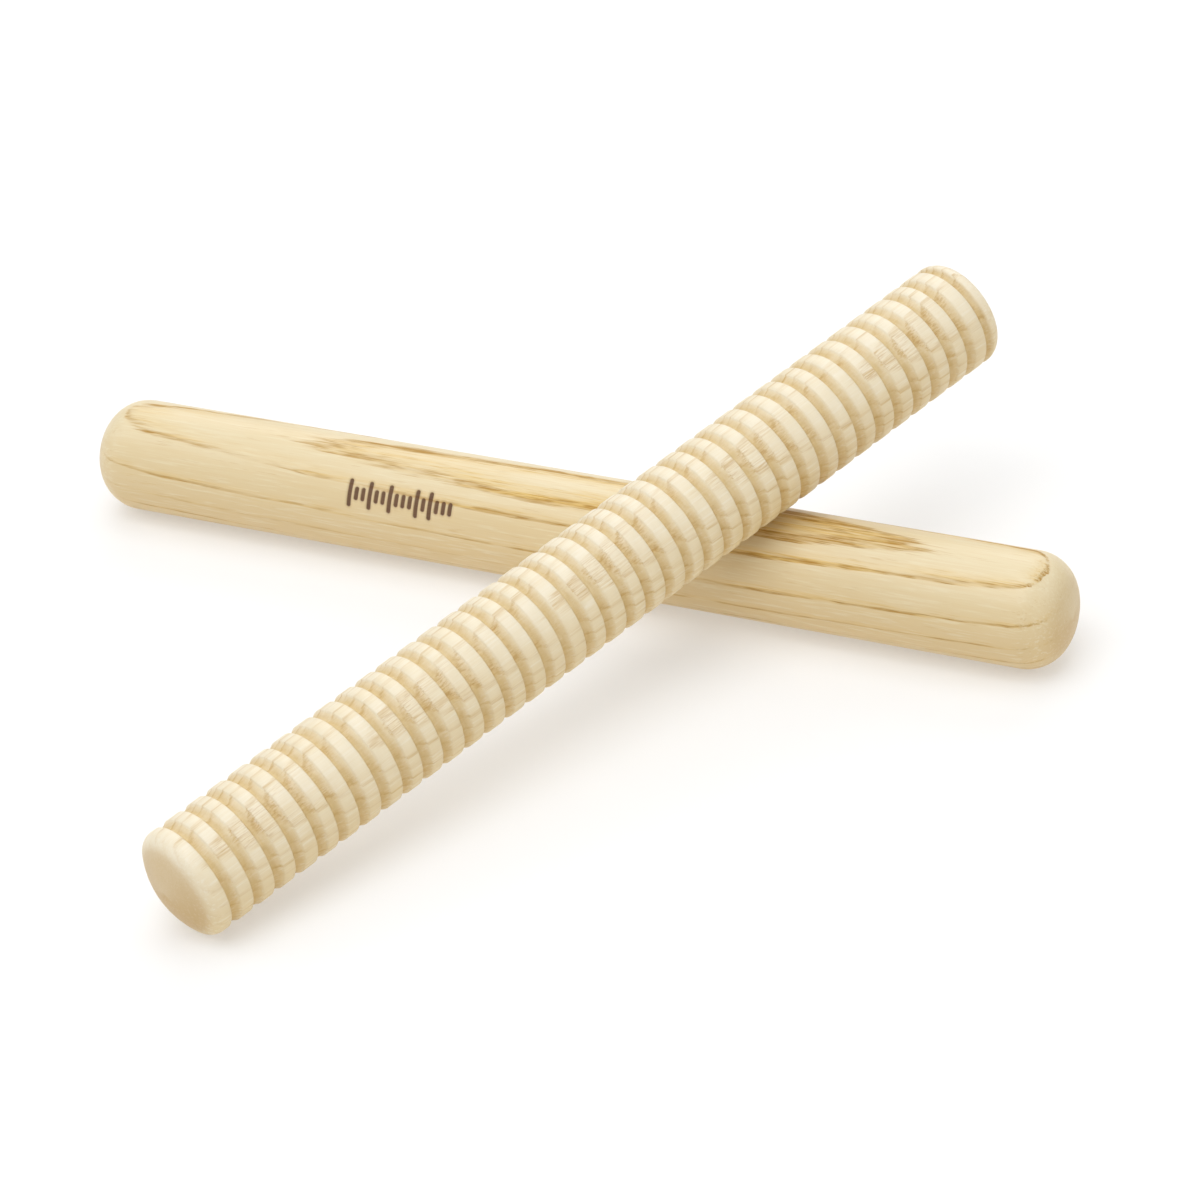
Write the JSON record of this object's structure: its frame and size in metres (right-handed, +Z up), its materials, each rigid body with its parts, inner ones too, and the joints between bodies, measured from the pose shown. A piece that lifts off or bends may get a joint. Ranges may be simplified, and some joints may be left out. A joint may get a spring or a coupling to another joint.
{
  "type": "claves",
  "caption": "Pair of turned wooden claves lying crossed: a plain round stick and one ringed with scraping grooves, for striking or scraping together.",
  "frame": {"origin": "on the surface the pair lies on, under the middle of the pair's bounding box", "axes": "+X along the smooth clave, towards the end beside the crossing; +Z up; +Y from the grooved clave's lowered end towards its raised end"},
  "size_m": [0.2, 0.1792, 0.0507],
  "materials": {
    "smooth_ash": "satin oiled, warm cream with ochre grain",
    "grooved_ash": "fine sanded, pale cream"
  },
  "bodies": {
    "smooth_clave": {"smooth_clave": "smooth_ash"},
    "grooved_clave": {"grooved_clave": "grooved_ash"}
  },
  "joints": [
    {"name": "grooved_clave_lift", "type": "slide", "parent": "smooth_clave", "child": "grooved_clave", "axis": [0, 0, 1], "range_m": [0, 0.1]}
  ]
}
